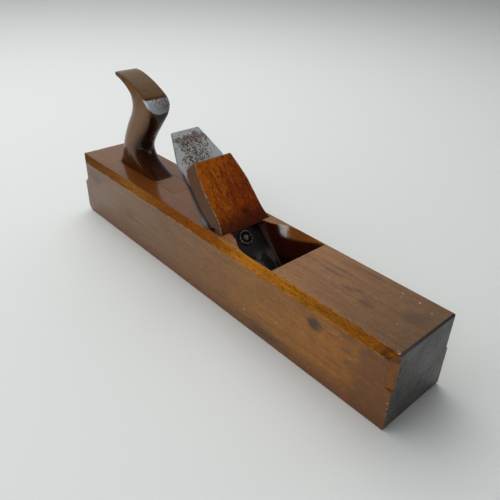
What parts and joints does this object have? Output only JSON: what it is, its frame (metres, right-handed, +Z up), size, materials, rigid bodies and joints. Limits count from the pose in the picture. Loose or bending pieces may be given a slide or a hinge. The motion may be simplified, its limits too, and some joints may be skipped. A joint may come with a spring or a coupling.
{
  "type": "wooden jack plane",
  "caption": "Wooden bench plane: a beech stock with a sloping bed and an open throat, a let-in open handle, and a double iron held by a wedge.",
  "frame": {"origin": "centre of the stock's 432 by 70 mm rectangle, on the sole", "axes": "+X towards the toe, +Y to the left of a person pushing the plane along +X, +Z up from the sole"},
  "size_m": [0.432, 0.07, 0.169],
  "materials": {
    "stock_beech": "old varnished beech, reddish brown, worn and oil-stained, satin",
    "tote_beech": "dark varnished beech, polished by the hand",
    "wedge_beech": "amber varnished beech with fine ray flecks, worn pale along its edges",
    "blade_steel": "old steel, pitted and rusty in the middle, bright at the edges",
    "cap_iron_black": "black, oily iron",
    "boss_brass": "dull brass, rubbed bright on the rim",
    "screw_steel": "dark steel with a bright domed tip"
  },
  "bodies": {
    "stock": {"stock": "stock_beech", "tote": "tote_beech"},
    "cutting_iron": {"cutting_iron": "blade_steel"},
    "cap_iron": {"cap_iron": "cap_iron_black", "cap_iron_boss": "boss_brass"},
    "cap_screw": {"cap_screw": "screw_steel"},
    "wedge": {"wedge": "wedge_beech"}
  },
  "joints": [
    {"name": "iron_slide", "type": "slide", "parent": "stock", "child": "cutting_iron", "axis": [-0.7314, 0, 0.682], "range_m": [-0.0015, 0.1]},
    {"name": "cap_iron_slide", "type": "slide", "parent": "cutting_iron", "child": "cap_iron", "axis": [-0.7394, 0, 0.6733], "range_m": [-0.0004, 0.044]},
    {"name": "cap_screw_turn", "type": "hinge", "parent": "cap_iron", "child": "cap_screw", "pos_m": [0.0265, 0, 0.05572], "axis": [0.6733, 0, 0.7394], "range_deg": [-360, 360]},
    {"name": "wedge_slide", "type": "slide", "parent": "cap_iron", "child": "wedge", "axis": [-0.6293, 0, 0.7771], "range_m": [0, 0.08]}
  ]
}
